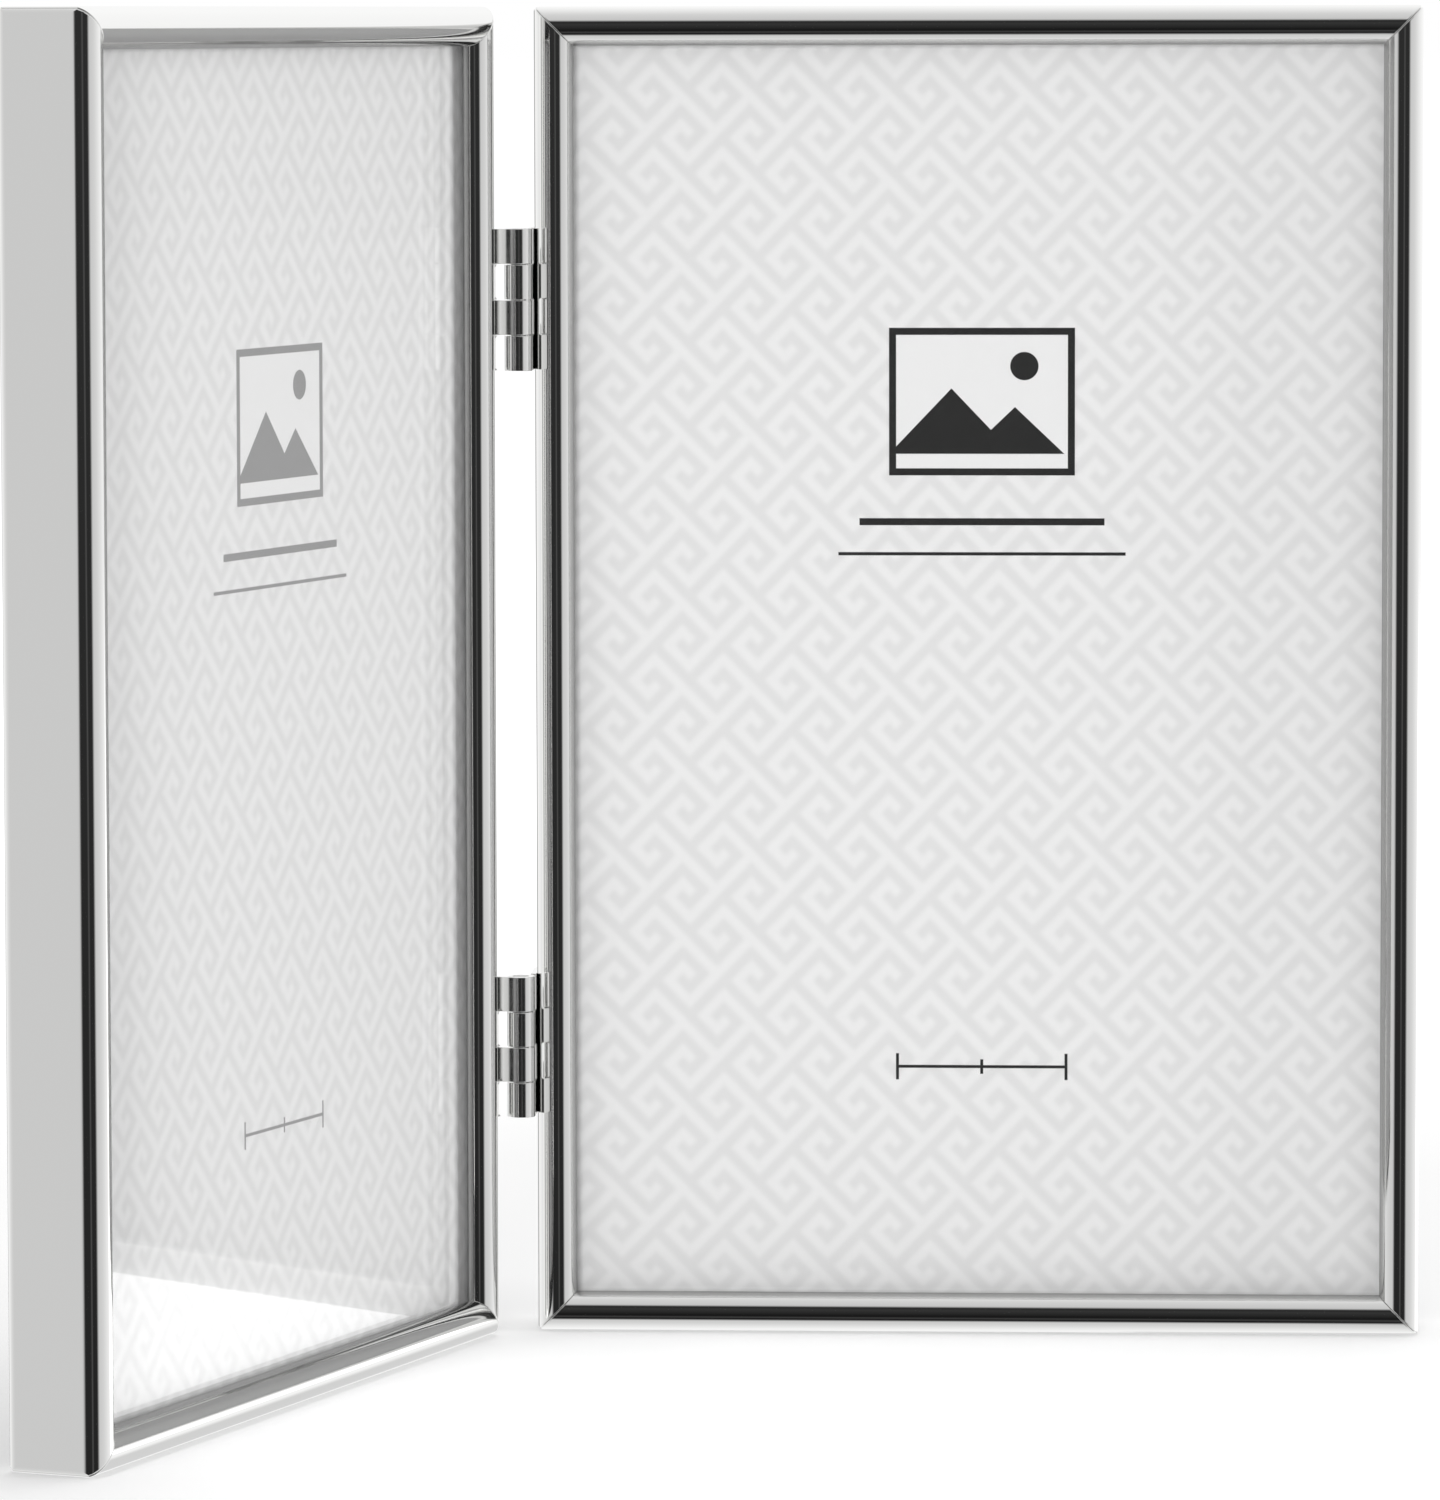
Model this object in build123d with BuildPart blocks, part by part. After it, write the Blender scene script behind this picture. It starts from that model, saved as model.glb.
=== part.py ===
from build123d import *
import os
from math import cos, radians, sin

# A hinged double photo frame. Two alike upright leaves, each a mitred frame of rolled sheet metal
# round a glass, a photo and their backing, are joined along one side by two small knuckle hinges.
# The right leaf faces -Y and the left leaf is folded forward towards the viewer. The origin is the
# centre of the whole object's box, on the surface that both leaves stand on.

# Photo, glass and backing
photo_width = 101.6
glass_height = 154.2
glass_thickness = 2.0
insert_thickness = 0.3
filler_thickness = 2.0
board_thickness = 2.3
velvet_thickness = 0.4
pack_room = 0.8

# Rolled moulding
sheet = 0.6
bead_radius = 2.3
lip_fold = 0.1
lip_width = 2.4
hem_width = 2.0
back_bend = 1.1
corner_round = 0.7
mitre_angle = 45
mitre_gap = 0.06
mitre_edge_round = 0.12
board_to_hem = 0.2
hem_slack = 0.2

# Corner keys inside the bead
key_width = 1.8
key_thickness = 1.0
key_arm = 14.0
key_from_edge = 1.6

# Turn buttons and their rivets
button_thickness = 0.6
button_gap = 0.1
button_reach = 8.0
button_end_radius = 3.0
button_tip_radius = 2.0
button_tip_to_wall = 0.3
button_from_middle = 45.0
button_rivet_radius = 0.9
button_rivet_head_radius = 1.9
button_rivet_head = 0.5
running_clearance = 0.05

# Hinges
hinge_length = 16.7
hinge_from_end = 26.0
hinge_sheet = 0.7
hinge_pin_radius = 0.9
pin_seat_clearance = 0.01
pin_end_chamfer = 0.15
pin_ahead_of_crest = 1.5
knuckles = 4
knuckle_gap = 0.1
knuckle_edge_round = 0.08
curl_seam = 0.12
notch_behind_pin = 2.5
notch_corner = 0.5
plate_on_stile = 8.6
plate_corner = 1.2

# Hinge rivets
hinge_rivet_radius = 0.7
hinge_rivet_head_radius = 1.3
hinge_rivet_head = 0.45
hinge_rivet_tail_radius = 1.05
hinge_rivet_tail = 0.35
hinge_rivet_behind_crest = 5.6
hinge_rivet_spacing = 9.0

# Angle between the two glass sides, as the object stands
open_angle = 110

# Sizes worked out from those above
lip_back = bead_radius + lip_fold + sheet
insert_front = lip_back + glass_thickness
filler_front = insert_front + insert_thickness
board_front = filler_front + filler_thickness
velvet_front = board_front + board_thickness
velvet_back = velvet_front + velvet_thickness
button_front = velvet_back + button_gap
button_back = button_front + button_thickness
leaf_depth = button_back + hem_slack + sheet
moulding_width = 2 * bead_radius
leaf_width = photo_width + 2 * (pack_room + sheet)
leaf_height = glass_height + 2 * (pack_room + sheet)
board_width = leaf_width - 2 * (hem_width + board_to_hem)
board_height = leaf_height - 2 * (hem_width + board_to_hem)
button_axis_from_edge = sheet + button_tip_to_wall + button_reach
button_axis_across = leaf_width / 2 - button_axis_from_edge
bore_radius = hinge_pin_radius + running_clearance
barrel_radius = bore_radius + hinge_sheet
knuckle_pitch = hinge_length / knuckles
overrun = 1.0

# The pin axis stands off a leaf's outer side by the barrel's radius, so that a plate lies flat there
fold = 180 - open_angle
along = Vector(-cos(radians(fold)), -sin(radians(fold)))
backward = Vector(-sin(radians(fold)), cos(radians(fold)))
free_edge = barrel_radius + leaf_width
back_face = pin_ahead_of_crest + leaf_depth
bend_centre = along * (free_edge - back_bend) + backward * (back_face - back_bend)
bead_centre = along * (free_edge - bead_radius) + backward * (pin_ahead_of_crest + bead_radius)
left_reach = bend_centre.X - back_bend
front_reach = bead_centre.Y - bead_radius
pin_axis = Vector(-(left_reach + free_edge) / 2, -(front_reach + back_face) / 2)

# A leaf's own frame has X across the leaf, away from the hinge, Y from the bead's crest to the back,
# and its origin in the middle of the crest plane. The left leaf is the same leaf upside down.
leaf_axes = {"right": (Vector(1, 0, 0), Vector(0, 0, 1)), "left": (along, Vector(0, 0, -1))}
down = {"right": -1, "left": 1}


def hinge_plane(side, height):
    """The plane across the pin axis at a height, with X pointing across that side's leaf."""
    across, up = leaf_axes[side]
    return Plane(Vector(pin_axis.X, pin_axis.Y, height), x_dir=across, z_dir=up)


def leaf_plane(side):
    """The plane across a leaf at half its height, with its origin on the crest plane."""
    at_pin = hinge_plane(side, leaf_height / 2)
    middle = at_pin.from_local_coords((barrel_radius + leaf_width / 2, pin_ahead_of_crest, 0))
    return Plane(middle, x_dir=at_pin.x_dir, z_dir=at_pin.z_dir)


def write(piece, name, place):
    """Set a finished piece in its place, label it and write its file."""
    with BuildPart() as placed:
        with Locations(place):
            add(piece.part)
    placed.part.label = name
    export_step(placed.part, f"parts/{name}.step")


def at_depth(depth):
    """A leaf's plane parallel to its front, at a depth behind the crest, looking out of the back."""
    return Plane((0, depth, 0), x_dir=(-1, 0, 0), z_dir=(0, 1, 0))


# Moulding
def edge_plane(edge):
    """A rail's section plane at the middle of an outer edge: X inwards, Y backwards, Z along it."""
    half_width, half_height = leaf_width / 2, leaf_height / 2
    places = {
        "hinge_stile": ((-half_width, 0, 0), (1, 0, 0), (0, 0, 1)),
        "free_stile": ((half_width, 0, 0), (-1, 0, 0), (0, 0, -1)),
        "top_rail": ((0, 0, half_height), (0, 0, -1), (1, 0, 0)),
        "bottom_rail": ((0, 0, -half_height), (0, 0, 1), (-1, 0, 0)),
    }
    origin, inwards, run = places[edge]
    return Plane(origin, x_dir=inwards, z_dir=run)


def section_path():
    """The middle line of the sheet: hem, outer wall, half-round bead and the lip behind it."""
    half_sheet = sheet / 2
    back_line = leaf_depth - half_sheet
    hem = Line((hem_width, back_line), (back_bend, back_line))
    bend = JernArc(hem @ 1, hem % 1, back_bend - half_sheet, 90)
    wall = Line(bend @ 1, (half_sheet, bead_radius))
    inner_side = (moulding_width - half_sheet, bead_radius)
    bead = ThreePointArc(wall @ 1, (bead_radius, half_sheet), inner_side)
    turn = JernArc(bead @ 1, bead % 1, lip_fold + half_sheet, 90)
    lip_tip = moulding_width - lip_width
    Line(turn @ 1, (lip_tip, lip_back - half_sheet))


def rail(edge, length):
    """One mitred length of the moulding."""
    section = edge_plane(edge)
    front = Plane(section.origin, x_dir=section.z_dir, z_dir=section.y_dir)
    with BuildPart() as piece:
        with BuildSketch(section):
            with BuildLine():
                section_path()
            trace(line_width=sheet)
        extrude(amount=length / 2, both=True)
        with BuildSketch(front):
            run = length - mitre_gap
            Trapezoid(run, moulding_width, mitre_angle, align=(Align.CENTER, Align.MIN))
        extrude(amount=leaf_depth, mode=Mode.INTERSECT)
        with BuildSketch(at_depth(0)):
            RectangleRounded(leaf_width, leaf_height, corner_round)
        extrude(amount=leaf_depth, mode=Mode.INTERSECT)
        slants = (Axis((0, 0, 0), (1, 0, 1)), Axis((0, 0, 0), (1, 0, -1)))
        cut_ends = [face for slant in slants for face in piece.faces().filter_by(slant)]
        fillet([rim for face in cut_ends for rim in face.edges()], mitre_edge_round)
        if edge == "hinge_stile":
            with Locations(*hinge_rivet_places()):
                Cylinder(hinge_rivet_radius + running_clearance, 2 * sheet, rotation=(0, 90, 0),
                         mode=Mode.SUBTRACT)
    return piece


def corner_keys():
    """Four flat angle pieces that lie in the bead's hollow, on the lip, and hold the mitres."""
    with BuildPart() as piece:
        with BuildSketch(at_depth(lip_back - sheet - key_thickness)):
            corner = (leaf_width / 2 - key_from_edge, leaf_height / 2 - key_from_edge)
            with Locations(corner):
                Rectangle(key_arm, key_arm, align=Align.MAX)
            with Locations((corner[0] - key_width, corner[1] - key_width)):
                Rectangle(key_arm, key_arm, align=Align.MAX, mode=Mode.SUBTRACT)
            mirror(about=Plane.YZ)
            mirror(about=Plane.XZ)
        extrude(amount=key_thickness)
    return piece


# Picture pack
def sheet_of(front, thickness, width, height, drop):
    """A flat rectangular layer of the pack, its middle moved along the leaf by drop."""
    with BuildPart() as piece:
        with BuildSketch(at_depth(front)):
            with Locations((0, drop)):
                Rectangle(width, height)
        extrude(amount=thickness)
    return piece


def backing_layer(front, thickness):
    """A layer of the backing, with holes for the turn buttons' rivets."""
    with BuildPart() as piece:
        with BuildSketch(at_depth(front)):
            Rectangle(board_width, board_height)
            with GridLocations(2 * button_axis_across, 2 * button_from_middle, 2, 2):
                Circle(button_rivet_radius + pin_seat_clearance, mode=Mode.SUBTRACT)
        extrude(amount=thickness)
    return piece


def turn_button(toward_edge, height):
    """A flat swivelling catch, round at its rivet and narrower at the tip under the hem."""
    with BuildPart() as piece:
        with BuildSketch(at_depth(button_front)):
            axis_at = -toward_edge * button_axis_across
            tip_at = axis_at - toward_edge * (button_reach - button_tip_radius)
            with Locations((axis_at, height)):
                Circle(button_end_radius)
            with Locations((tip_at, height)):
                Circle(button_tip_radius)
            make_hull()
            with Locations((axis_at, height)):
                Circle(button_rivet_radius + running_clearance, mode=Mode.SUBTRACT)
        extrude(amount=button_thickness)
    return piece


def button_rivets():
    """Four round-headed rivets through the backing, one under each turn button."""
    head_front = button_back + button_gap
    with BuildPart() as piece:
        with BuildSketch(at_depth(board_front)):
            with GridLocations(2 * button_axis_across, 2 * button_from_middle, 2, 2):
                Circle(button_rivet_radius)
        extrude(amount=head_front - board_front)
        with BuildSketch(at_depth(head_front)):
            with GridLocations(2 * button_axis_across, 2 * button_from_middle, 2, 2):
                Circle(button_rivet_head_radius)
        extrude(amount=button_rivet_head)
        rims = piece.edges().filter_by(GeomType.CIRCLE).group_by(Axis.Y)[-1]
        fillet(rims, button_rivet_head / 2)
    return piece


# Hinges
def hinge_levels():
    """The height of each hinge's middle above the surface."""
    from_end = hinge_from_end + hinge_length / 2
    return {"upper": leaf_height - from_end, "lower": from_end}


def hinge_rivet_places():
    """The rivets' places on the outer wall of the hinge stile, in the leaf's frame."""
    across = -leaf_width / 2 + sheet / 2
    half_space = hinge_rivet_spacing / 2
    middles = [level - leaf_height / 2 for level in hinge_levels().values()]
    return [(across, hinge_rivet_behind_crest, middle + step)
            for middle in middles for step in (-half_space, half_space)]


def knuckle_section():
    """A plate's section: the strip on the stile and the sheet curled round the pin."""
    Circle(barrel_radius)
    plate_back = pin_ahead_of_crest + plate_on_stile
    with Locations((barrel_radius, 0)):
        Rectangle(hinge_sheet, plate_back, align=(Align.MAX, Align.MIN))
    with Locations((bore_radius, bore_radius / 2)):
        Rectangle(curl_seam, barrel_radius, align=(Align.MAX, Align.MIN), mode=Mode.SUBTRACT)


def hinge_plate(own_bore):
    """One hinge leaf with two of the four knuckles, in the frame of its pin axis."""
    notch_reach = 2 * barrel_radius + notch_behind_pin
    with BuildPart() as piece:
        with BuildSketch():
            knuckle_section()
            Circle(own_bore, mode=Mode.SUBTRACT)
        extrude(amount=hinge_length / 2, both=True)
        with BuildSketch(Plane.YZ):
            for knuckle in range(0, knuckles, 2):
                middle = hinge_length / 2 - (knuckle + 0.5) * knuckle_pitch
                with Locations((notch_behind_pin - notch_reach / 2, middle)):
                    RectangleRounded(notch_reach, knuckle_pitch + knuckle_gap, notch_corner)
        extrude(amount=2 * barrel_radius, both=True, mode=Mode.SUBTRACT)
        back_corners = piece.edges().filter_by(Axis.X).group_by(Axis.Y)[-1]
        fillet(back_corners, plate_corner)
        knuckle_rims = piece.edges().filter_by(GeomType.CIRCLE).group_by(SortBy.RADIUS)[-1]
        fillet(knuckle_rims, knuckle_edge_round)
        rivet_at = pin_ahead_of_crest + hinge_rivet_behind_crest
        half_space = hinge_rivet_spacing / 2
        with Locations(*[(barrel_radius, rivet_at, step) for step in (-half_space, half_space)]):
            Cylinder(hinge_rivet_radius + running_clearance, 2 * hinge_sheet + overrun,
                     rotation=(0, 90, 0), mode=Mode.SUBTRACT)
    return piece


def hinge_pin():
    """The plain pin through all four knuckles."""
    with BuildPart() as piece:
        Cylinder(hinge_pin_radius, hinge_length)
        chamfer(piece.edges().filter_by(GeomType.CIRCLE), pin_end_chamfer)
    return piece


def hinge_rivets():
    """Four rivets that hold the two plates to the outer wall of one hinge stile."""
    grip = hinge_sheet + sheet
    with BuildPart() as piece:
        for across, depth, height in hinge_rivet_places():
            wall_outside = Plane((across - sheet / 2, depth, height), z_dir=(1, 0, 0))
            with BuildSketch(wall_outside.offset(-hinge_sheet)):
                Circle(hinge_rivet_radius)
            extrude(amount=grip)
            with BuildSketch(wall_outside.offset(sheet)):
                Circle(hinge_rivet_tail_radius)
            extrude(amount=hinge_rivet_tail)
            with BuildSketch(wall_outside.offset(-hinge_sheet)):
                Circle(hinge_rivet_head_radius)
            extrude(amount=-hinge_rivet_head)
        rims = piece.edges().filter_by(GeomType.CIRCLE).group_by(Axis.X)[0]
        fillet(rims, hinge_rivet_head / 2)
    return piece


def write_leaf(side):
    """Everything that one leaf is made of, apart from its hinge plates."""
    place = leaf_plane(side)
    over, under = ("top_rail", "bottom_rail") if side == "right" else ("bottom_rail", "top_rail")
    names = {"hinge_stile": "hinge_stile", "free_stile": "free_stile", over: "top_rail",
             under: "bottom_rail"}
    lengths = {"hinge_stile": leaf_height, "free_stile": leaf_height, "top_rail": leaf_width,
               "bottom_rail": leaf_width}
    for edge, name in names.items():
        write(rail(edge, lengths[edge]), f"{side}_{name}", place)
    write(corner_keys(), f"{side}_corner_keys", place)
    drop = down[side] * pack_room
    layers = {"glass": (lip_back, glass_thickness), "photo_insert": (insert_front, insert_thickness),
              "filler_card": (filler_front, filler_thickness)}
    for name, (front, thickness) in layers.items():
        layer = sheet_of(front, thickness, photo_width, glass_height, drop)
        write(layer, f"{side}_{name}", place)
    write(backing_layer(board_front, board_thickness), f"{side}_backing_board", place)
    write(backing_layer(velvet_front, velvet_thickness), f"{side}_backing_velvet", place)
    write(button_rivets(), f"{side}_button_rivets", place)
    write(hinge_rivets(), f"{side}_hinge_rivets", place)
    for across, edge in ((-1, "hinge_side"), (1, "free_side")):
        for level, height in (("upper", button_from_middle), ("lower", -button_from_middle)):
            button = turn_button(across, -down[side] * height)
            write(button, f"{side}_turn_button_{edge}_{level}", place)


os.makedirs("parts", exist_ok=True)
for side in ("right", "left"):
    write_leaf(side)
for level, height in hinge_levels().items():
    write(hinge_plate(hinge_pin_radius + pin_seat_clearance), f"right_{level}_hinge_plate",
          hinge_plane("right", height))
    write(hinge_plate(bore_radius), f"left_{level}_hinge_plate", hinge_plane("left", height))
    write(hinge_pin(), f"{level}_hinge_pin", hinge_plane("right", height))
print("leaf", leaf_width, leaf_height, leaf_depth, "pin axis", pin_axis)
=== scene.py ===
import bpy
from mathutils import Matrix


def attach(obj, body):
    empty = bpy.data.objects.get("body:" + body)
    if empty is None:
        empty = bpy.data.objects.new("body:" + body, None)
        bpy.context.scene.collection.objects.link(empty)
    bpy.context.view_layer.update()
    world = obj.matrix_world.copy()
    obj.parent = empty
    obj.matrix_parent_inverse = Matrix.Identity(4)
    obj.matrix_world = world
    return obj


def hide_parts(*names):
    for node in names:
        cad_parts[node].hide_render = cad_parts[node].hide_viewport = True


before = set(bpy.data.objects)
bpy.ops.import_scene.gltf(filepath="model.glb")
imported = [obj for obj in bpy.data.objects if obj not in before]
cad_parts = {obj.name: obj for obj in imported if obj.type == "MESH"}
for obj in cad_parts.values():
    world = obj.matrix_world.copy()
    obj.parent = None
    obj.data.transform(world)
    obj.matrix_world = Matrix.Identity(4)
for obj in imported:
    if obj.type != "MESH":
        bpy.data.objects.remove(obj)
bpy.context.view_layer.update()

import math

import bmesh
import bpy
from bpy.props import FloatProperty, FloatVectorProperty, PointerProperty
from mathutils import Matrix, Vector, noise

bl_info = {
    "name": "Hinged double photo frame",
    "version": (1, 0, 0),
    "blender": (4, 5, 0),
    "location": "View3D > Sidebar > Photo frame",
    "description": "Dresses a folding metal frame for two prints and sets its studio",
    "category": "Object",
}

MM = 0.001

# Sizes of the leaves, as the solids have them
LEAF_WIDTH = 104.4 * MM
LEAF_HEIGHT = 157.0 * MM
PACK_WIDTH = 101.6 * MM
PACK_HEIGHT = 154.2 * MM
PACK_DROP = 0.8 * MM
MOULDING_WIDTH = 4.6 * MM
GLASS_FRONT = 3.0 * MM
GLASS_BACK = 5.0 * MM
VELVET_FRONT = 9.6 * MM
VELVET_BACK = 10.0 * MM
BACKING_WIDTH = 100.0 * MM
BACKING_HEIGHT = 152.6 * MM
PIN_AXIS = Vector((-28.9363, 42.7467, 0)) * MM
PIN_TO_SIDE = 1.65 * MM
PIN_TO_CREST = 1.5 * MM
FOLD = math.radians(70)

SIDES = ("right", "left")
EDGES = ("hinge_stile", "free_stile", "top_rail", "bottom_rail")
BUTTONS = ("hinge_side_upper", "hinge_side_lower", "free_side_upper", "free_side_lower")
LEVELS = ("upper", "lower")

# Each leaf's directions: across it away from the hinge, and from its front to its back
ACROSS = {"right": Vector((1, 0, 0)), "left": Vector((-math.cos(FOLD), -math.sin(FOLD), 0))}
BACKWARD = {"right": Vector((0, 1, 0)), "left": Vector((-math.sin(FOLD), math.cos(FOLD), 0))}


def linear(code):
    """An sRGB hex colour as linear red, green and blue."""
    parts = [int(code[i:i + 2], 16) / 255 for i in (0, 2, 4)]
    return tuple(p / 12.92 if p <= 0.04045 else ((p + 0.055) / 1.055) ** 2.4 for p in parts)


def opaque(colour):
    """A colour with full alpha, as a colour socket takes it."""
    return (*colour, 1.0)


class PhotoFrameColours(bpy.types.PropertyGroup):
    """The object's colours."""
    silver: FloatVectorProperty(
        name="Silver", description="Polished silver plate of the mouldings and hinges",
        subtype="COLOR", min=0, max=1, default=linear("FAFAF9"))
    nickel: FloatVectorProperty(
        name="Nickel", description="Plating of the turn buttons",
        subtype="COLOR", min=0, max=1, default=linear("ADABA6"))
    steel: FloatVectorProperty(
        name="Steel", description="Plain steel of the rivets and corner keys",
        subtype="COLOR", min=0, max=1, default=linear("B9B9B8"))
    paper: FloatVectorProperty(
        name="Paper", description="Pale strokes of the printed insert",
        subtype="COLOR", min=0, max=1, default=linear("E9E9E9"))
    fret: FloatVectorProperty(
        name="Fret", description="Grey strokes of the printed insert",
        subtype="COLOR", min=0, max=1, default=linear("DFDFDF"))
    ink: FloatVectorProperty(
        name="Ink", description="Dark marks printed on the right leaf's insert",
        subtype="COLOR", min=0, max=1, default=linear("2C2C2C"))
    # Partly painted reflection: the left insert's marks are the same print as the right's, drawn a
    # paler grey to stand in for the pane's reflection over them
    pale_ink_with_painted_veil: FloatVectorProperty(
        name="Pale ink", description="Grey marks printed on the left leaf's insert",
        subtype="COLOR", min=0, max=1, default=linear("929292"))
    # Painted reflection: the grey that the inserts take on only where they are seen mirrored in the
    # metal and glass
    painted_reflection_paper: FloatVectorProperty(
        name="Mirrored paper", description="Tone of the inserts in the metal and glass beside them",
        subtype="COLOR", min=0, max=1, default=linear("9C9C9C"))
    card: FloatVectorProperty(
        name="Card", description="Grey filler card behind the insert",
        subtype="COLOR", min=0, max=1, default=linear("A7A39C"))
    hardboard: FloatVectorProperty(
        name="Hardboard", description="Board under the velvet",
        subtype="COLOR", min=0, max=1, default=linear("7A5A3C"))
    velvet: FloatVectorProperty(
        name="Velvet", description="Pile on the back of the board",
        subtype="COLOR", min=0, max=1, default=linear("17171A"))


class PhotoFrameSizes(bpy.types.PropertyGroup):
    """The sizes that the dressing adds to the solids."""
    glass_arris: FloatProperty(
        name="Glass arris", description="Width of the ground chamfer on each pane's edges",
        unit="LENGTH", precision=5, default=0.3 * MM)
    glass_ease: FloatProperty(
        name="Glass ease", description="Air between each pane and what it lies against",
        unit="LENGTH", precision=5, default=0.02 * MM)
    fret_step_across: FloatProperty(
        name="Fret step across", description="Sideways step of the fret from cell to cell",
        unit="LENGTH", precision=5, default=0.8152 * MM)
    fret_step_down: FloatProperty(
        name="Fret step down", description="Downward step of the fret from cell to cell",
        unit="LENGTH", precision=5, default=0.8325 * MM)
    pile_depth: FloatProperty(
        name="Pile depth", description="How far the velvet's pile is pressed in at most",
        unit="LENGTH", precision=5, default=0.16 * MM)


def colours():
    """The colours that the panel shows."""
    return bpy.context.scene.photo_frame_colours


def sizes():
    """The sizes that the panel shows."""
    return bpy.context.scene.photo_frame_sizes


# Nodes and materials
def add_node(tree, kind, inputs=None, stops=None, blend="LINEAR", **settings):
    """Add a node, set its properties and grey stops, and set or link its inputs."""
    made = tree.nodes.new(kind)
    for name, value in settings.items():
        setattr(made, name, value)
    if stops:
        ramp = made.color_ramp
        ramp.interpolation = blend
        while len(ramp.elements) > 1:
            ramp.elements.remove(ramp.elements[-1])
        ramp.elements[0].position = stops[0][0]
        ramp.elements[0].color = opaque((stops[0][1],) * 3)
        for position, level in stops[1:]:
            ramp.elements.new(position).color = opaque((level,) * 3)
    for name, value in (inputs or {}).items():
        socket = made.inputs[name]
        if isinstance(value, bpy.types.NodeSocket):
            tree.links.new(value, socket)
        else:
            socket.default_value = value
    return made


def new_material(name):
    """An empty material with an output that its surface is linked to."""
    made = bpy.data.materials.new(name)
    made.use_nodes = True
    made.node_tree.nodes.clear()
    output = made.node_tree.nodes.new("ShaderNodeOutputMaterial")
    return made, made.node_tree, output.inputs["Surface"]


def scaled_object_coordinates(tree, scale):
    """Object coordinates, which stay with a piece at every pose, stretched by a scale."""
    place = add_node(tree, "ShaderNodeTexCoord").outputs["Object"]
    return add_node(tree, "ShaderNodeVectorMath", {0: place, 1: scale},
                    operation="MULTIPLY").outputs[0]


def metal(name, colour, roughness, spread, grain, ripple_length, ripple_depth):
    """A plated or polished metal: a clean tint, uneven roughness and a faint ripple.

    grain is how many polishing marks lie in a metre along X, Y and Z.
    """
    made, tree, surface = new_material(name)
    marks = add_node(tree, "ShaderNodeTexNoise", {
        "Vector": scaled_object_coordinates(tree, grain), "Scale": 1.0, "Detail": 3.0})
    rough = add_node(tree, "ShaderNodeMapRange", {
        "Value": marks.outputs["Fac"], "From Min": 0.3, "From Max": 0.7,
        "To Min": roughness, "To Max": roughness + spread})
    ripple = add_node(tree, "ShaderNodeTexNoise", {
        "Vector": scaled_object_coordinates(tree, (1 / ripple_length,) * 3), "Scale": 1.0,
        "Detail": 1.0})
    bump = add_node(tree, "ShaderNodeBump", {
        "Height": ripple.outputs["Fac"], "Distance": ripple_depth, "Strength": 1.0})
    shader = add_node(tree, "ShaderNodeBsdfPrincipled", {
        "Base Color": opaque(colour), "Metallic": 1.0, "Roughness": rough.outputs[0],
        "Normal": bump.outputs[0]})
    tree.links.new(shader.outputs[0], surface)
    return made


def float_glass():
    """Soda-lime float glass, polished both sides: a clear sharp mirror at a slant."""
    made, tree, surface = new_material("float_glass")
    glass = add_node(tree, "ShaderNodeBsdfPrincipled", {
        "Base Color": opaque(linear("FEFEFE")), "Roughness": 0.0, "IOR": 1.52,
        "Transmission Weight": 1.0})
    clear = add_node(tree, "ShaderNodeBsdfTransparent")
    path = add_node(tree, "ShaderNodeLightPath")
    lets_light_in = add_node(tree, "ShaderNodeMath", {
        0: path.outputs["Is Shadow Ray"], 1: path.outputs["Is Diffuse Ray"]},
        operation="MAXIMUM")
    both = add_node(tree, "ShaderNodeMixShader", {
        0: lets_light_in.outputs[0], 1: glass.outputs[0], 2: clear.outputs[0]})
    tree.links.new(both.outputs[0], surface)
    return made


# The fret is a running meander on a slanted grid of square cells, pale or grey. Every line of cells
# holds the same run of 60, and the next line holds it 11 cells further on.
FRET_LINE = "....#.####.###.#.#..#.#.#.#.##.#.#...#....#.##########......"
FRET_SHIFT = 11
# How soft a stroke's edge is and where the cells start along both slants, in cells
FRET_SOFTNESS = 0.3
FRET_START_UP = -1.3
FRET_START_DOWN = -1.15

# The marks on each insert, in millimetres from the opening's top corner on the reader's left: a
# picture sign, two rules under it and a dimension line near the foot
SIGN_X, SIGN_Y = 48.1, 42.0
SIGN_WIDTH, SIGN_HEIGHT, SIGN_LINE = 22.0, 17.5, 0.9
# Each hill's top, from the sign's middle, and its slope, and the foot that both stand on
HILLS = ((-3.6, -1.6, 1.05), (3.9, 0.6, 0.95))
HILLS_FOOT = 6.2
# The sun's middle, from the sign's middle, and its radius
SUN_X, SUN_Y, SUN_RADIUS = 5.0, -4.2, 1.7
# Each rule's place down the sheet, its length and its thickness
RULES = ((56.2, 29.0, 0.9), (60.0, 34.0, 0.45))
# The dimension line's place down the sheet, its length and thickness, and the ticks across it, each
# with its place along the line and its length
GAUGE_Y, GAUGE_LENGTH, GAUGE_LINE = 121.0, 20.0, 0.42
GAUGE_TICKS = ((-10.0, 3.2), (10.0, 3.2), (0.0, 1.8))
# How far the ink's edge fades into the paper
INK_EDGE = 0.06


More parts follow.
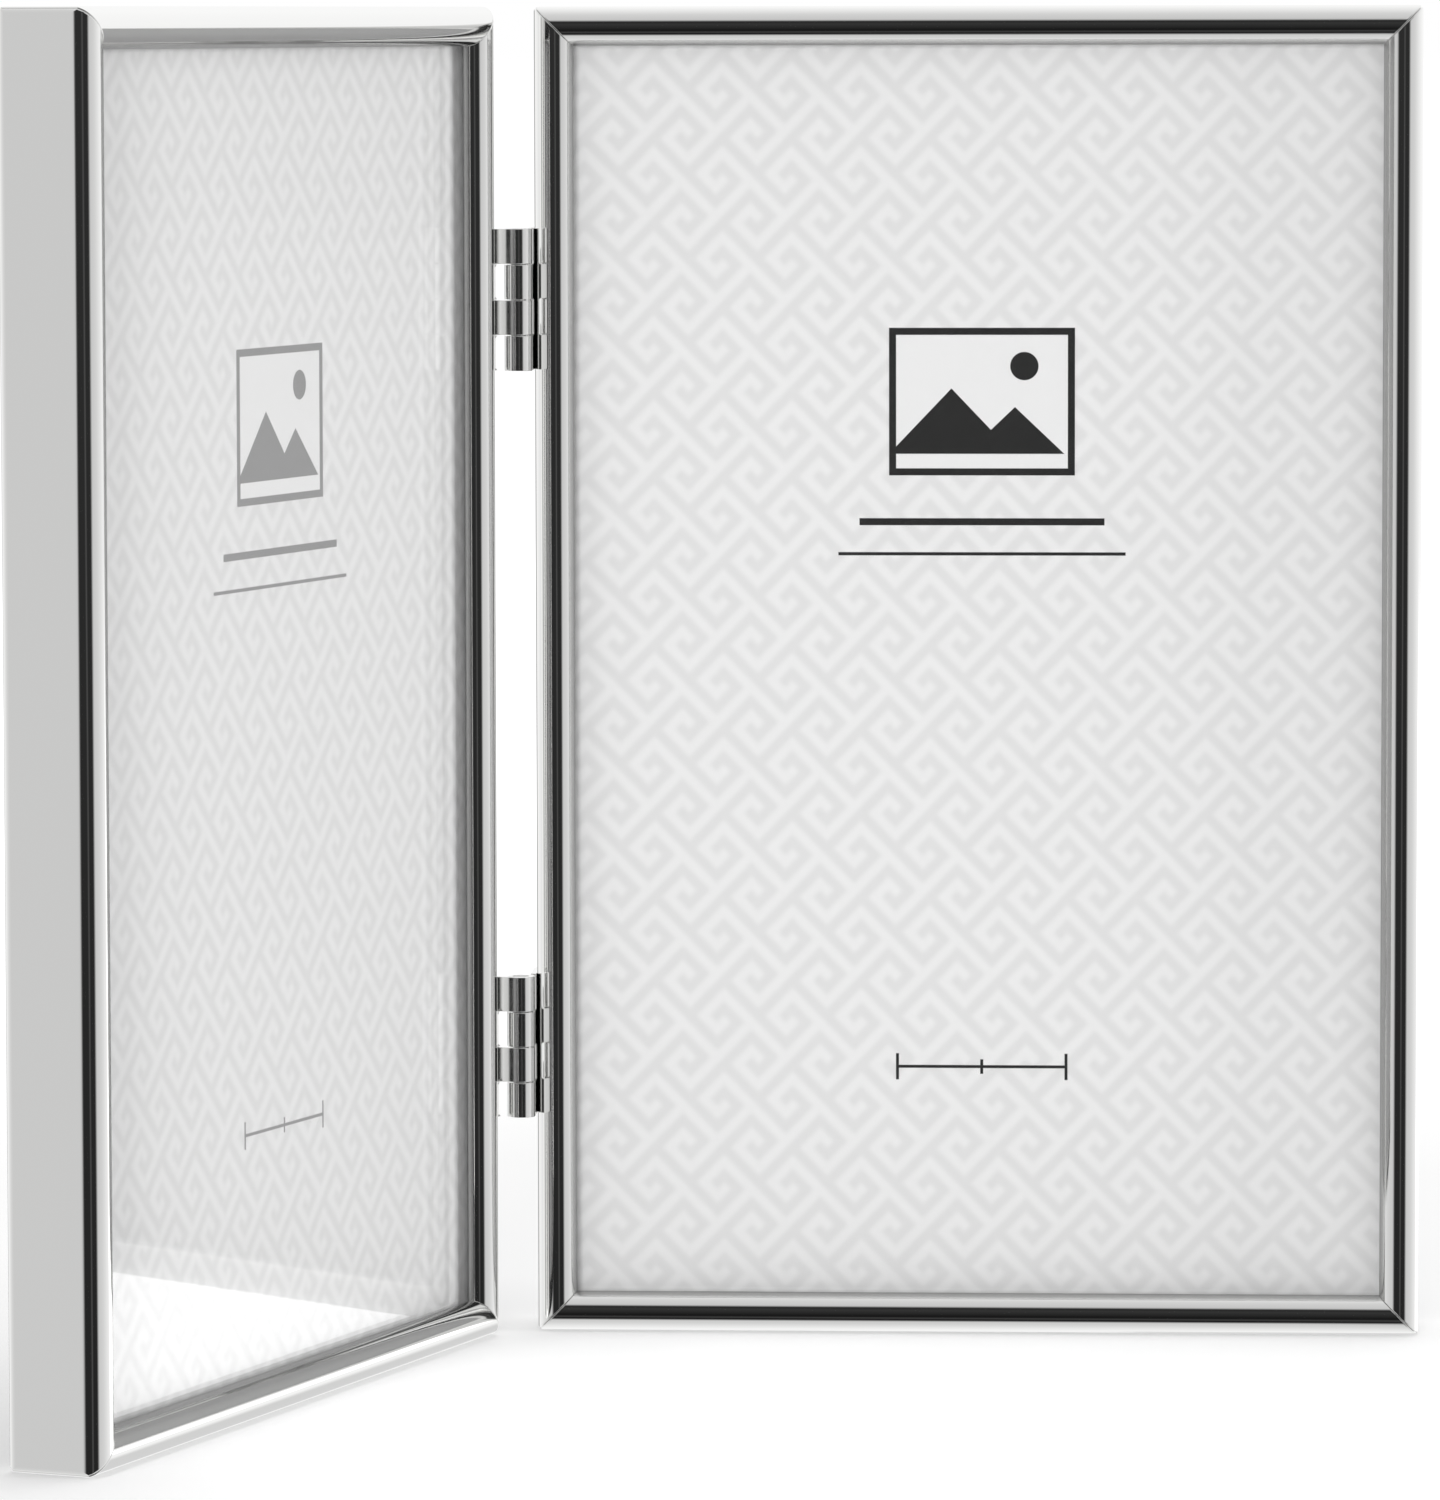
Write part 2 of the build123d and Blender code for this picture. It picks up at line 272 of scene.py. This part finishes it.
def printed_paper(side, ink):
    """Uncoated printed paper: a soft matt sheet with a pale fret and a few dark marks, and a
    painted grey in place of its reflections.
    """
    made, tree, surface = new_material(f"printed_paper_{side}")
    place = add_node(tree, "ShaderNodeTexCoord").outputs["Object"]

    def math_node(operation, *values, clamp=False):
        return add_node(tree, "ShaderNodeMath", dict(enumerate(values)), operation=operation,
                        use_clamp=clamp).outputs[0]

    def along(direction, origin):
        """How far a point lies along a direction from a point, in millimetres."""
        from_origin = add_node(tree, "ShaderNodeVectorMath", {0: place, 1: origin},
                               operation="SUBTRACT").outputs[0]
        return add_node(tree, "ShaderNodeVectorMath", {0: from_origin, 1: direction / MM},
                        operation="DOT_PRODUCT").outputs["Value"]

    # The opening's top corner on the reader's left, and the reader's right
    corner_from_hinge = MOULDING_WIDTH if side == "right" else LEAF_WIDTH - MOULDING_WIDTH
    corner = PIN_AXIS + ACROSS[side] * (PIN_TO_SIDE + corner_from_hinge)
    corner += Vector((0, 0, LEAF_HEIGHT - MOULDING_WIDTH))
    rightward = ACROSS[side] if side == "right" else -ACROSS[side]
    x = along(rightward, corner)
    y = along(Vector((0, 0, -1)), corner)

    # Fret: the cell that a point is in along both slants, and its share of the next one
    steps_across = math_node("DIVIDE", x, sizes().fret_step_across / MM)
    steps_down = math_node("DIVIDE", y, sizes().fret_step_down / MM)
    cells, shares = [], []
    for operation, start in (("ADD", FRET_START_UP), ("SUBTRACT", FRET_START_DOWN)):
        steps = math_node(operation, steps_across, steps_down)
        slant = math_node("MULTIPLY_ADD", steps, 0.5, start)
        cells.append(math_node("FLOOR", slant))
        shares.append(add_node(tree, "ShaderNodeMapRange", {
            "Value": math_node("FRACT", slant), "From Min": 0.5 - FRET_SOFTNESS,
            "From Max": 0.5 + FRET_SOFTNESS}, interpolation_type="SMOOTHSTEP").outputs[0])
    line_place = math_node("MULTIPLY_ADD", cells[0], float(FRET_SHIFT), cells[1])
    tone_starts = [(i / len(FRET_LINE), float(tone == "#")) for i, tone in enumerate(FRET_LINE)
                   if i == 0 or tone != FRET_LINE[i - 1]]

    def tone_at(cells_on):
        """The tone of the cell that lies so many cells further on along the line."""
        place_on_line = math_node("FRACT", math_node(
            "MULTIPLY_ADD", line_place, 1 / len(FRET_LINE), (cells_on + 0.5) / len(FRET_LINE)))
        return add_node(tree, "ShaderNodeValToRGB", {0: place_on_line}, tone_starts,
                        "CONSTANT").outputs[0]

    def between(share, first, second):
        return add_node(tree, "ShaderNodeMix", {0: share, 2: first, 3: second}).outputs[0]

    share = between(shares[0], between(shares[1], tone_at(0), tone_at(1)),
                    between(shares[1], tone_at(FRET_SHIFT), tone_at(FRET_SHIFT + 1)))

    def mark(middle_x, middle_y, width, height):
        """How deep a point lies inside an upright rectangle, in millimetres."""
        left_over = math_node("SUBTRACT", width / 2, math_node(
            "ABSOLUTE", math_node("SUBTRACT", x, middle_x)))
        height_over = math_node("SUBTRACT", height / 2, math_node(
            "ABSOLUTE", math_node("SUBTRACT", y, middle_y)))
        return math_node("MINIMUM", left_over, height_over)

    def together(*depths):
        """Several shapes as one."""
        joined = depths[0]
        for depth in depths[1:]:
            joined = math_node("MAXIMUM", joined, depth)
        return joined

    def peak(top_x, top_y, slope, foot_y):
        """A triangle standing on a level foot."""
        fall = math_node("MULTIPLY", math_node("ABSOLUTE", math_node("SUBTRACT", x, top_x)), slope)
        below = math_node("SUBTRACT", math_node("SUBTRACT", y, top_y), fall)
        return math_node("MINIMUM", below, math_node("SUBTRACT", foot_y, y))

    def disc(middle_x, middle_y, radius):
        """How deep a point lies inside a circle, in millimetres."""
        dx = math_node("SUBTRACT", x, middle_x)
        dy = math_node("SUBTRACT", y, middle_y)
        away = math_node("SQRT", math_node("ADD", math_node("MULTIPLY", dx, dx),
                                           math_node("MULTIPLY", dy, dy)))
        return math_node("SUBTRACT", radius, away)

    field = mark(SIGN_X, SIGN_Y, SIGN_WIDTH, SIGN_HEIGHT)
    outline = math_node("SUBTRACT", SIGN_LINE / 2, math_node("ABSOLUTE", math_node(
        "SUBTRACT", field, SIGN_LINE / 2)))
    hills = together(*[peak(SIGN_X + top_x, SIGN_Y + top_y, slope, SIGN_Y + HILLS_FOOT)
                       for top_x, top_y, slope in HILLS])
    sun = disc(SIGN_X + SUN_X, SIGN_Y + SUN_Y, SUN_RADIUS)
    rules = together(*[mark(SIGN_X, down, length, thick) for down, length, thick in RULES])
    gauge = together(mark(SIGN_X, GAUGE_Y, GAUGE_LENGTH, GAUGE_LINE), *[
        mark(SIGN_X + place, GAUGE_Y, GAUGE_LINE, length) for place, length in GAUGE_TICKS])
    inked = math_node("DIVIDE", together(outline, hills, sun, rules, gauge), INK_EDGE, clamp=True)
    plain_field = math_node("DIVIDE", field, INK_EDGE, clamp=True)

    shared = math_node("MAXIMUM", share, plain_field)
    ground = add_node(tree, "ShaderNodeMix", {
        0: shared, 6: opaque(colours().fret), 7: opaque(colours().paper)}, data_type="RGBA")
    printed = add_node(tree, "ShaderNodeMix", {
        0: inked, 6: ground.outputs[2], 7: opaque(ink)}, data_type="RGBA")
    # Painted reflection: in the metal and the glass beside it the sheet's colour is swapped for one
    # even grey, a painted tone of its mirror image and not a tone the paper has
    in_painted_reflection = math_node("MINIMUM", add_node(tree, "ShaderNodeLightPath").outputs["Glossy Depth"],
                         1.0)
    tint = add_node(tree, "ShaderNodeMix", {
        0: in_painted_reflection, 6: printed.outputs[2], 7: opaque(colours().painted_reflection_paper)},
        data_type="RGBA")
    fibres = add_node(tree, "ShaderNodeTexNoise", {
        "Vector": scaled_object_coordinates(tree, (1 / (0.25 * MM),) * 3), "Scale": 1.0,
        "Detail": 3.0})
    tooth = add_node(tree, "ShaderNodeBump", {
        "Height": fibres.outputs["Fac"], "Distance": 0.01 * MM, "Strength": 1.0})
    shader = add_node(tree, "ShaderNodeBsdfPrincipled", {
        "Base Color": tint.outputs[2], "Roughness": 0.72, "Specular IOR Level": 0.3,
        "Normal": tooth.outputs[0]})
    tree.links.new(shader.outputs[0], surface)
    return made


def board_stock(name, colour, darker, fibre_length, fibre_depth):
    """Pressed fibres, as in hardboard or grey card: mottled, matt and slightly rough."""
    made, tree, surface = new_material(name)
    fibres = add_node(tree, "ShaderNodeTexNoise", {
        "Vector": scaled_object_coordinates(tree, (1 / fibre_length,) * 3), "Scale": 1.0,
        "Detail": 6.0, "Roughness": 0.65})
    tint = add_node(tree, "ShaderNodeMix", {
        0: fibres.outputs["Fac"], 6: opaque(tuple(c * darker for c in colour)),
        7: opaque(colour)}, data_type="RGBA")
    bump = add_node(tree, "ShaderNodeBump", {
        "Height": fibres.outputs["Fac"], "Distance": fibre_depth, "Strength": 1.0})
    shader = add_node(tree, "ShaderNodeBsdfPrincipled", {
        "Base Color": tint.outputs[2], "Roughness": 0.85, "Normal": bump.outputs[0]})
    tree.links.new(shader.outputs[0], surface)
    return made


def cotton_velvet():
    """Short woven pile: nearly black head on, with a soft grey bloom at a slant."""
    made, tree, surface = new_material("cotton_velvet")
    nap = add_node(tree, "ShaderNodeTexNoise", {
        "Vector": scaled_object_coordinates(tree, (1 / (9 * MM),) * 3), "Scale": 1.0,
        "Detail": 4.0})
    pile = add_node(tree, "ShaderNodeTexNoise", {
        "Vector": scaled_object_coordinates(tree, (1 / (0.35 * MM),) * 3), "Scale": 1.0,
        "Detail": 2.0})
    brushed = add_node(tree, "ShaderNodeMapRange", {
        "Value": nap.outputs["Fac"], "From Min": 0.35, "From Max": 0.65,
        "To Min": 0.55, "To Max": 1.5})
    tint = add_node(tree, "ShaderNodeVectorMath", {0: colours().velvet, 3: brushed.outputs[0]},
                    operation="SCALE")
    bump = add_node(tree, "ShaderNodeBump", {
        "Height": pile.outputs["Fac"], "Distance": 0.25 * MM, "Strength": 1.0})
    shader = add_node(tree, "ShaderNodeBsdfPrincipled", {
        "Base Color": tint.outputs[0], "Roughness": 1.0, "Specular IOR Level": 0.1,
        "Sheen Weight": 0.7, "Sheen Roughness": 0.4, "Sheen Tint": opaque(linear("9A9AA2")),
        "Normal": bump.outputs[0]})
    tree.links.new(shader.outputs[0], surface)
    return made


# Pieces
def dress(nodes, material):
    """Give CAD nodes a material in place of their plain one."""
    for name in nodes:
        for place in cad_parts[name].material_slots:
            place.material = material


def on_both(*names):
    """The names of both leaves' nodes of these kinds."""
    return [f"{side}_{name}" for side in SIDES for name in names]


def leaf_matrix(side, depth, rise):
    """The place of a leaf's middle at a depth behind the crest, with X across and Y backward."""
    across, backward = ACROSS[side], BACKWARD[side]
    turned = Matrix((across, backward, across.cross(backward))).transposed()
    middle = PIN_AXIS + across * (PIN_TO_SIDE + LEAF_WIDTH / 2)
    middle += backward * (PIN_TO_CREST + depth) + Vector((0, 0, LEAF_HEIGHT / 2 + rise))
    return Matrix.Translation(middle) @ turned.to_4x4()


def new_piece(name, shape, material, side, replaced):
    """Link a mesh made in the row frame, and say what it rides on and stands for."""
    mesh = bpy.data.meshes.new(name)
    shape.to_mesh(mesh)
    shape.free()
    mesh.materials.append(material)
    piece = bpy.data.objects.new(name, mesh)
    bpy.context.scene.collection.objects.link(piece)
    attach(piece, f"{side}_leaf")
    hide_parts(replaced)
    return piece


class PHOTO_FRAME_OT_mouldings(bpy.types.Operator):
    """Finish the mitred mouldings in polished silver plate"""
    bl_idname = "photo_frame.mouldings"
    bl_label = "Mouldings"

    def execute(self, context):
        # Silver plate polished on a mop: a near mirror with a faint ripple that bends reflections
        plate = metal("polished_silver_plate", colours().silver, 0.045, 0.03,
                      (900, 900, 900), 14 * MM, 0.012 * MM)
        dress(on_both(*EDGES), plate)
        # Mild steel stamping, bare inside the moulding: dull grey with rolling marks
        steel = metal("stamped_mild_steel", colours().steel, 0.35, 0.2,
                      (2500, 400, 2500), 3 * MM, 0.01 * MM)
        dress(on_both("corner_keys"), steel)
        return {"FINISHED"}


class PHOTO_FRAME_OT_hinges(bpy.types.Operator):
    """Finish the hinge plates, pins and rivets"""
    bl_idname = "photo_frame.hinges"
    bl_label = "Hinges"

    def execute(self, context):
        # Silver plate over rolled steel, polished less than the mouldings: a soft-edged mirror
        plate = metal("silver_plated_hinge_steel", colours().silver, 0.09, 0.06,
                      (1800, 1800, 500), 5 * MM, 0.008 * MM)
        dress(on_both(*[f"{level}_hinge_plate" for level in LEVELS]), plate)
        # Drawn steel wire, cut and turned: lengthwise drawing marks
        wire = metal("drawn_steel_wire", colours().steel, 0.22, 0.12,
                     (3000, 3000, 200), 2 * MM, 0.004 * MM)
        dress([f"{level}_hinge_pin" for level in LEVELS], wire)
        # Headed steel rivets, tumbled bright: soft satin domes
        rivet = metal("tumbled_steel_rivet", colours().steel, 0.28, 0.15,
                      (2200, 2200, 2200), 1 * MM, 0.006 * MM)
        dress(on_both("hinge_rivets", "button_rivets"), rivet)
        return {"FINISHED"}


class PHOTO_FRAME_OT_glass(bpy.types.Operator):
    """Fit each leaf with a pane that has ground arrises"""
    bl_idname = "photo_frame.glass"
    bl_label = "Glass"

    def execute(self, context):
        clear = float_glass()
        ease = sizes().glass_ease
        for side in SIDES:
            pane = bmesh.new()
            thick = GLASS_BACK - GLASS_FRONT - 2 * ease
            bmesh.ops.create_cube(pane, size=1, matrix=Matrix.Diagonal(
                (PACK_WIDTH, thick, PACK_HEIGHT, 1)))
            bmesh.ops.bevel(pane, geom=pane.edges[:], offset=sizes().glass_arris, segments=1,
                            profile=0.5, affect="EDGES")
            bmesh.ops.transform(pane, verts=pane.verts, matrix=leaf_matrix(
                side, (GLASS_FRONT + GLASS_BACK) / 2, -PACK_DROP))
            new_piece(f"{side}_pane", pane, clear, side, f"{side}_glass")
        return {"FINISHED"}


class PHOTO_FRAME_OT_inserts(bpy.types.Operator):
    """Print the paper inserts and finish the card behind them"""
    bl_idname = "photo_frame.inserts"
    bl_label = "Inserts"

    def execute(self, context):
        # The left insert's paler ink is partly a painted reflection of its pane
        for side, ink in (("right", colours().ink), ("left", colours().pale_ink_with_painted_veil)):
            dress([f"{side}_photo_insert"], printed_paper(side, ink))
        card = board_stock("grey_filler_card", colours().card, 0.85, 0.8 * MM, 0.02 * MM)
        dress(on_both("filler_card"), card)
        return {"FINISHED"}


class PHOTO_FRAME_OT_backs(bpy.types.Operator):
    """Cover the hardboard backs with velvet"""
    bl_idname = "photo_frame.backs"
    bl_label = "Backs"

    def execute(self, context):
        board = board_stock("pressed_hardboard", colours().hardboard, 0.6, 1.2 * MM, 0.04 * MM)
        dress(on_both("backing_board"), board)
        velvet = cotton_velvet()
        for side in SIDES:
            new_piece(f"{side}_velvet", velvet_cover(side), velvet, side,
                      f"{side}_backing_velvet")
        return {"FINISHED"}


# The velvet's mesh: its columns and rows, how far in its pile rolls over from an edge, and how wide
# the patches are that its nap is brushed in
VELVET_COLUMNS, VELVET_ROWS = 100, 152
VELVET_ROLL = 1.2 * MM
NAP_PATCH = 4 * MM


def velvet_cover(side):
    """A velvet sheet whose pile is uneven and rolls over at the sheet's edges."""
    cover = bmesh.new()
    bmesh.ops.create_grid(cover, x_segments=VELVET_COLUMNS, y_segments=VELVET_ROWS, size=0.5)
    thick = VELVET_BACK - VELVET_FRONT
    for point in cover.verts:
        u, v = point.co.x, point.co.y
        x, z = u * BACKING_WIDTH, v * BACKING_HEIGHT
        from_edge = min(BACKING_WIDTH / 2 - abs(x), BACKING_HEIGHT / 2 - abs(z))
        roll = max(0.0, 1 - from_edge / VELVET_ROLL) ** 2 * thick
        nap = 0.5 + 0.5 * noise.noise(Vector((x, z, 0.01 * SIDES.index(side))) / NAP_PATCH)
        point.co = (x, VELVET_BACK - max(roll, nap * sizes().pile_depth), z)
    rim = [edge for edge in cover.edges if edge.is_boundary]
    walls = bmesh.ops.extrude_edge_only(cover, edges=rim)["geom"]
    for point in (item for item in walls if isinstance(item, bmesh.types.BMVert)):
        point.co.y = VELVET_FRONT
    bmesh.ops.recalc_face_normals(cover, faces=cover.faces)
    for face in cover.faces:
        face.smooth = True
    bmesh.ops.transform(cover, verts=cover.verts, matrix=leaf_matrix(side, 0, 0))
    return cover


class PHOTO_FRAME_OT_buttons(bpy.types.Operator):
    """Finish the turn buttons on both backs"""
    bl_idname = "photo_frame.buttons"
    bl_label = "Turn buttons"

    def execute(self, context):
        # Nickel plate on stamped steel: a warm grey satin with fine tumbling marks
        nickel = metal("nickel_plated_steel", colours().nickel, 0.2, 0.14,
                       (1500, 1500, 1500), 3 * MM, 0.01 * MM)
        dress(on_both(*[f"turn_button_{place}" for place in BUTTONS]), nickel)
        return {"FINISHED"}


# Stage
# Where the camera stands, how it is turned, tipped down and rolled in degrees, its lens in
# millimetres and its shift as a share of the picture's longer side
CAMERA_PLACE = Vector((43.088, -920.09, 155.58)) * MM
CAMERA_TURN = 2.877
CAMERA_PITCH = 4.2606
CAMERA_ROLL = -0.1154
CAMERA_LENS = 197.07
CAMERA_SHIFT = -0.08


def make_camera():
    """A long-lens camera that stands where the photograph was taken from."""
    turn, pitch, roll = (math.radians(a) for a in (CAMERA_TURN, CAMERA_PITCH, CAMERA_ROLL))
    ahead = Vector((-math.sin(turn) * math.cos(pitch), math.cos(turn) * math.cos(pitch),
                    -math.sin(pitch)))
    level = Vector((math.cos(turn), math.sin(turn), 0))
    above = level.cross(ahead)
    rightward = math.cos(roll) * level + math.sin(roll) * above
    upward = math.cos(roll) * above - math.sin(roll) * level
    camera = bpy.data.objects.new("camera", bpy.data.cameras.new("camera"))
    camera.data.lens = CAMERA_LENS
    camera.data.shift_y = CAMERA_SHIFT
    camera.data.clip_start = 0.01
    camera.matrix_world = Matrix.Translation(CAMERA_PLACE) @ Matrix(
        (rightward, upward, -ahead)).transposed().to_4x4()
    bpy.context.scene.collection.objects.link(camera)
    bpy.context.scene.camera = camera


# How bright the studio's walls are, from straight before the object at 0 to straight behind it
FRONT_TO_BACK = (
    (0.0, 0.5), (0.25, 0.6), (0.32, 0.63), (0.4, 0.67), (0.48, 0.75), (0.58, 0.85), (0.7, 0.93),
    (0.83, 0.98), (1.0, 0.96))
# How dim the dark gap that the camera stands in is, from straight down to straight up
GAP_LEVELS = (
    (0.2, 0.01), (0.28, 0.012), (0.3, 0.05), (0.33, 0.04), (0.35, 0.01), (0.39, 0.01),
    (0.47, 0.022), (0.58, 0.035), (0.69, 0.012))
# Soft-edged rectangles in the studio: the middle and half the reach of each, round the object and
# up, and how soft its rim is, all in degrees. The camera's stand shows faintly in the gap. The
# table's far part is dimmer than the walls. A lit card stands low behind the object on its right,
# where the left pane mirrors it, and a screen behind the object on its left gives its back form.
GAP = ((4.5, 35.5), (-9.0, 43.0), 7.0)
STAND = ((9.0, 3.0), (-20.0, 40.0), 4.0)
TABLE = ((168.0, 44.0), (-31.0, 10.0), 4.0)
CARD = ((133.0, 16.0), (-8.5, 3.5), 1.5)
SCREEN = ((-152.0, 11.0), (0.0, 28.0), 6.0)
STAND_LEVEL = 0.075
TABLE_LEVEL = 0.66
CARD_LEVEL = 1.85
SCREEN_LEVEL = 0.3
# What the studio gives to matt surfaces from every side
PLAIN_LEVEL = 0.4


def make_world():
    """A white studio with a dark gap before the object, seen by the camera as plain white."""
    world = bpy.data.worlds.new("studio")
    world.use_nodes = True
    world.cycles.sampling_method = "NONE"
    tree = world.node_tree
    tree.nodes.clear()

    def math_node(operation, *values):
        return add_node(tree, "ShaderNodeMath", dict(enumerate(values)),
                        operation=operation).outputs[0]

    towards = add_node(tree, "ShaderNodeSeparateXYZ", {
        0: add_node(tree, "ShaderNodeTexCoord").outputs["Generated"]}).outputs
    ahead = math_node("MULTIPLY", towards["Y"], -1.0)
    from_front = math_node("DIVIDE", math_node("ARCCOSINE", ahead), math.pi)
    around = math_node("DEGREES", math_node("ARCTAN2", towards["X"], ahead))
    elevation = math_node("DEGREES", math_node("ARCSINE", towards["Z"]))

    def window(round_reach, up_reach, rim):
        """A soft-edged rectangle in the studio, 1 inside it and 0 outside."""
        shares = []
        for angle, (middle, reach) in ((around, round_reach), (elevation, up_reach)):
            away = math_node("ABSOLUTE", math_node("SUBTRACT", angle, middle))
            shares.append(add_node(tree, "ShaderNodeMapRange", {
                "Value": away, "From Min": reach + rim, "From Max": reach - rim},
                interpolation_type="SMOOTHSTEP").outputs[0])
        return math_node("MULTIPLY", *shares)

    walls = add_node(tree, "ShaderNodeValToRGB", {0: from_front}, FRONT_TO_BACK)
    gap = add_node(tree, "ShaderNodeValToRGB", {
        0: math_node("MULTIPLY_ADD", elevation, 1 / 180, 0.5)}, GAP_LEVELS)
    path = add_node(tree, "ShaderNodeLightPath").outputs
    level = walls.outputs[0]
    for share, seen in (
            (window(*GAP), gap.outputs[0]),
            (window(*STAND), opaque((STAND_LEVEL,) * 3)),
            (window(*TABLE), opaque((TABLE_LEVEL,) * 3)),
            (window(*CARD), opaque((CARD_LEVEL,) * 3)),
            (window(*SCREEN), opaque((SCREEN_LEVEL,) * 3)),
            (path["Is Diffuse Ray"], opaque((PLAIN_LEVEL,) * 3)),
            (path["Is Camera Ray"], opaque((1, 1, 1)))):
        level = add_node(tree, "ShaderNodeMix", {0: share, 6: level, 7: seen},
                         data_type="RGBA").outputs[2]
    light = add_node(tree, "ShaderNodeBackground", {"Color": level, "Strength": 1.0})
    output = tree.nodes.new("ShaderNodeOutputWorld")
    tree.links.new(light.outputs[0], output.inputs["Surface"])
    bpy.context.scene.world = world


# Soft boxes: name, place, side length in metres and power in watts
LAMPS = (
    ("right_leaf", (-0.15, -1.25, 0.2), 0.35, 8.6),
    ("left_leaf", (1.17, -0.1, 0.2), 0.3, 6.1),
    ("above", (0.05, 0.12, 1.2), 0.5, 5.0),
    ("behind", (0.3, 1.2, 0.6), 0.9, 2.0))


def make_lamps():
    """Soft boxes aimed at the object's middle: before each leaf, from above and from behind."""
    middle = Vector((0, 0, LEAF_HEIGHT / 2))
    for name, place, size, power in LAMPS:
        lamp = bpy.data.lights.new(name, "AREA")
        lamp.energy = power
        lamp.size = size
        holder = bpy.data.objects.new(name, lamp)
        holder.location = place
        holder.rotation_euler = (middle - Vector(place)).to_track_quat("-Z", "Y").to_euler()
        holder.visible_glossy = False
        holder.visible_transmission = False
        bpy.context.scene.collection.objects.link(holder)


# How far the table top reaches to each side, in metres
FLOOR_REACH = 30.0
# How strongly the table top is lifted to white, beside the object and far from it, and how far from
# the object these two lie, in metres
FLOOR_GLOW = (0.25, 0.7)
FLOOR_GLOW_REACH = (0.2, 0.8)


def make_floor():
    """A wide matt white table top, lifted to plain white for the camera outside its shadows."""
    sheet = bmesh.new()
    bmesh.ops.create_grid(sheet, x_segments=1, y_segments=1, size=FLOOR_REACH)
    mesh = bpy.data.meshes.new("floor")
    sheet.to_mesh(mesh)
    sheet.free()
    made, tree, surface = new_material("matt_white_table")
    away = add_node(tree, "ShaderNodeVectorMath", {
        0: add_node(tree, "ShaderNodeTexCoord").outputs["Object"]}, operation="LENGTH")
    lift = add_node(tree, "ShaderNodeMapRange", {
        "Value": away.outputs["Value"], "From Min": FLOOR_GLOW_REACH[0],
        "From Max": FLOOR_GLOW_REACH[1], "To Min": FLOOR_GLOW[0], "To Max": FLOOR_GLOW[1]})
    glow = add_node(tree, "ShaderNodeMath", {
        0: add_node(tree, "ShaderNodeLightPath").outputs["Is Camera Ray"], 1: lift.outputs[0]},
        operation="MULTIPLY")
    shader = add_node(tree, "ShaderNodeBsdfPrincipled", {
        "Base Color": opaque(linear("EDEDED")), "Roughness": 0.9, "Specular IOR Level": 0.0,
        "Emission Color": opaque((1, 1, 1)), "Emission Strength": glow.outputs[0]})
    tree.links.new(shader.outputs[0], surface)
    mesh.materials.append(made)
    floor = bpy.data.objects.new("floor", mesh)
    floor.visible_glossy = False
    floor.visible_transmission = False
    bpy.context.scene.collection.objects.link(floor)


class PHOTO_FRAME_OT_stage(bpy.types.Operator):
    """Set up the table, the studio light and the camera"""
    bl_idname = "photo_frame.stage"
    bl_label = "Stage"

    def execute(self, context):
        make_camera()
        make_world()
        make_lamps()
        make_floor()
        context.scene.view_settings.view_transform = "Standard"
        return {"FINISHED"}


PIECES = (PHOTO_FRAME_OT_mouldings, PHOTO_FRAME_OT_hinges, PHOTO_FRAME_OT_glass,
          PHOTO_FRAME_OT_inserts, PHOTO_FRAME_OT_backs, PHOTO_FRAME_OT_buttons,
          PHOTO_FRAME_OT_stage)


class VIEW3D_PT_photo_frame(bpy.types.Panel):
    """Colours, sizes and pieces of the photo frame"""
    bl_label = "Photo frame"
    bl_space_type = "VIEW_3D"
    bl_region_type = "UI"
    bl_category = "Photo frame"

    def draw(self, context):
        for group in (context.scene.photo_frame_colours, context.scene.photo_frame_sizes):
            column = self.layout.column()
            for name in group.__annotations__:
                column.prop(group, name)
        for piece in PIECES:
            self.layout.operator(piece.bl_idname)


CLASSES = (PhotoFrameColours, PhotoFrameSizes, *PIECES, VIEW3D_PT_photo_frame)


def register():
    for made in CLASSES:
        bpy.utils.register_class(made)
    bpy.types.Scene.photo_frame_colours = PointerProperty(type=PhotoFrameColours)
    bpy.types.Scene.photo_frame_sizes = PointerProperty(type=PhotoFrameSizes)


def unregister():
    del bpy.types.Scene.photo_frame_sizes
    del bpy.types.Scene.photo_frame_colours
    for made in reversed(CLASSES):
        bpy.utils.unregister_class(made)


def main():
    register()
    for piece in PIECES:
        group, name = piece.bl_idname.split(".")
        getattr(getattr(bpy.ops, group), name)()


if __name__ == "__main__":
    main()
